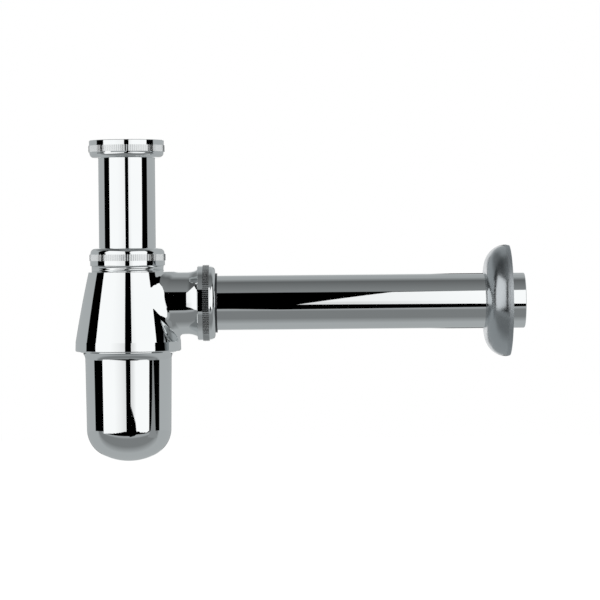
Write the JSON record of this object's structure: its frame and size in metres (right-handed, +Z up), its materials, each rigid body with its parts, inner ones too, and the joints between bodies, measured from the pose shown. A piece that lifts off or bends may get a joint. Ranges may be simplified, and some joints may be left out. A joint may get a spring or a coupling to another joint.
{
  "type": "bottle trap",
  "caption": "Chromed basin bottle trap: knurled union nuts on an inlet tube, conical body with unscrewing bottle, side branch, long wall tube and domed wall flange.",
  "frame": {"origin": "centre of the union nut's sealing plane, on the inlet tube's axis", "axes": "+Z up along the inlet tube into the basin waste, +X along the outlet tube to the wall"},
  "size_m": [0.2614, 0.065, 0.1865],
  "materials": {
    "chrome_nut": "polished chrome plate with a fine straight knurl",
    "chrome_tube": "polished chrome plate on drawn brass tube",
    "chrome_body": "polished chrome plate on cast brass",
    "chrome_bottle": "polished chrome plate on drawn brass",
    "chrome_flange": "polished chrome plate on drawn sheet",
    "rubber": "matt moulded rubber",
    "ring_plastic": "black moulded plastic",
    "dip_tube_plastic": "white moulded plastic"
  },
  "bodies": {
    "inlet": {"inlet_tube": "chrome_tube", "inlet_washer": "rubber"},
    "union_nut": {"inlet_union_nut": "chrome_nut"},
    "neck_seal": {"upper_seal": "rubber", "dip_tube": "dip_tube_plastic"},
    "body": {"trap_body": "chrome_body", "outlet_seal": "rubber"},
    "upper_ring": {"upper_slip_ring": "ring_plastic"},
    "upper_nut": {"upper_compression_nut": "chrome_nut"},
    "outlet_ring": {"outlet_slip_ring": "ring_plastic"},
    "outlet_nut": {"outlet_compression_nut": "chrome_nut"},
    "bottle_ring": {"bottle_gasket": "rubber"},
    "bottle": {"bottle_cup": "chrome_bottle"},
    "outlet_pipe": {"outlet_tube": "chrome_tube"},
    "flange": {"wall_flange": "chrome_flange"}
  },
  "joints": [
    {"name": "union_nut_turn", "type": "hinge", "parent": "inlet", "child": "union_nut", "pos_m": [0, 0, 0], "axis": [0, 0, 1], "continuous": true},
    {"name": "height_slide", "type": "slide", "parent": "inlet", "child": "neck_seal", "axis": [0, 0, 1], "range_m": [-0.02, 0.04]},
    {"name": "body_swivel", "type": "hinge", "parent": "neck_seal", "child": "body", "pos_m": [0, 0, -0.0909], "axis": [0, 0, 1], "continuous": true},
    {"name": "upper_ring_lift", "type": "slide", "parent": "body", "child": "upper_ring", "axis": [0, 0, 1], "range_m": [0, 0.00424]},
    {"name": "upper_nut_turn", "type": "hinge", "parent": "upper_ring", "child": "upper_nut", "pos_m": [0, 0, -0.063], "axis": [0, 0, 1], "range_deg": [0, 660]},
    {"name": "outlet_ring_shift", "type": "slide", "parent": "body", "child": "outlet_ring", "axis": [1, 0, 0], "range_m": [0, 0.0052]},
    {"name": "outlet_nut_turn", "type": "hinge", "parent": "outlet_ring", "child": "outlet_nut", "pos_m": [0.0456, 0, -0.0897], "axis": [1, 0, 0], "range_deg": [0, 810]},
    {"name": "bottle_gasket_drop", "type": "slide", "parent": "body", "child": "bottle_ring", "axis": [0, 0, -1], "range_m": [0, 0.00651]},
    {"name": "bottle_turn", "type": "hinge", "parent": "bottle_ring", "child": "bottle", "pos_m": [0, 0, -0.117], "axis": [0, 0, -1], "range_deg": [0, 1170]},
    {"name": "outlet_tube_slide", "type": "slide", "parent": "body", "child": "outlet_pipe", "axis": [1, 0, 0], "range_m": [-0.009, 0.01]},
    {"name": "wall_flange_slide", "type": "slide", "parent": "outlet_pipe", "child": "flange", "axis": [1, 0, 0], "range_m": [-0.14, 0.008]}
  ],
  "couplings": [
    {"joint": "upper_ring_lift", "follows": "upper_nut_turn", "m_per_rad": 0.00036749},
    {"joint": "outlet_ring_shift", "follows": "outlet_nut_turn", "m_per_rad": 0.00036749},
    {"joint": "bottle_gasket_drop", "follows": "bottle_turn", "m_per_rad": 0.00031831}
  ]
}
